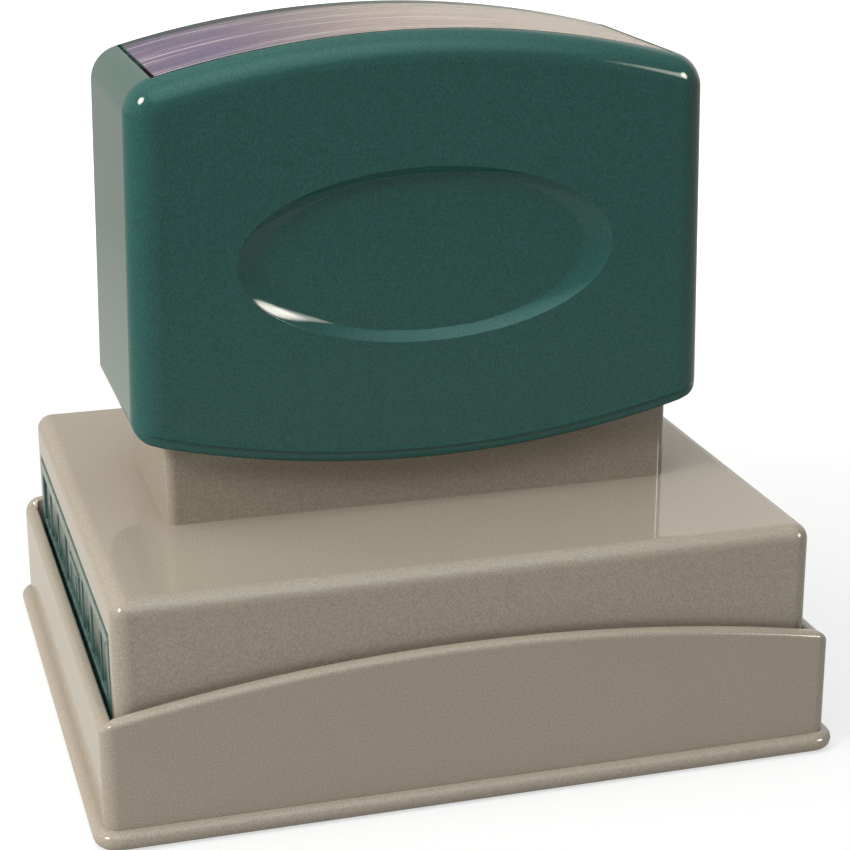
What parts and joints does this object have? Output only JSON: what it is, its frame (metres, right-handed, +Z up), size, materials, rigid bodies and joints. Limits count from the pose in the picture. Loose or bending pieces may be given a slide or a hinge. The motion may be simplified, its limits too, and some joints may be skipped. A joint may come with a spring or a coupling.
{
  "type": "pre-inked message stamp",
  "caption": "Pre-inked message stamp in its dust cap: a green press grip with an index strip on a windowed casing with a sprung die holder inside.",
  "frame": {"origin": "middle of the dust cap's underside", "axes": "+Z up along the press, +X along the long side, the front with the oval recess faces -Y"},
  "size_m": [0.089, 0.076, 0.0845],
  "materials": {
    "beige_plastic": "satin moulded plastic",
    "green_gloss": "polished moulded plastic",
    "green_clear": "translucent moulded plastic",
    "pale_plastic": "plain moulded plastic",
    "dark_plastic": "plain moulded plastic",
    "steel": "bright zinc",
    "black_rubber": "soft moulded rubber",
    "die_rubber": "porous rubber",
    "felt": "inked felt",
    "label_paper": "smooth coated paper",
    "clear_plastic": "clear polished plastic"
  },
  "bodies": {
    "cap": {"base_cap": "beige_plastic"},
    "casing": {"casing": "beige_plastic", "spring_left": "steel", "spring_right": "steel"},
    "carriage": {"die_holder": "green_clear", "stem": "pale_plastic", "yoke": "dark_plastic", "yoke_screw_left": "steel", "yoke_screw_right": "steel", "ink_plug": "black_rubber", "ink_felt": "felt", "die": "die_rubber", "die_frame": "dark_plastic"},
    "handle": {"handle_shell": "green_gloss", "handle_core": "green_gloss", "index_label": "label_paper"},
    "cover": {"index_cover": "clear_plastic"}
  },
  "joints": [
    {"name": "cap_lift", "type": "slide", "parent": "cap", "child": "casing", "axis": [0, 0, 1], "range_m": [0, 0.022]},
    {"name": "press", "type": "slide", "parent": "casing", "child": "carriage", "axis": [0, 0, -1], "range_m": [0, 0.003], "stiffness_N_per_m": 1200, "springref_m": -0.005, "deforming": ["spring_left", "spring_right"]},
    {"name": "handle_pull", "type": "slide", "parent": "carriage", "child": "handle", "axis": [0, 0, 1], "range_m": [0, 0.024]},
    {"name": "cover_lift", "type": "slide", "parent": "handle", "child": "cover", "axis": [0, 0, 1], "range_m": [0, 0.008]}
  ]
}
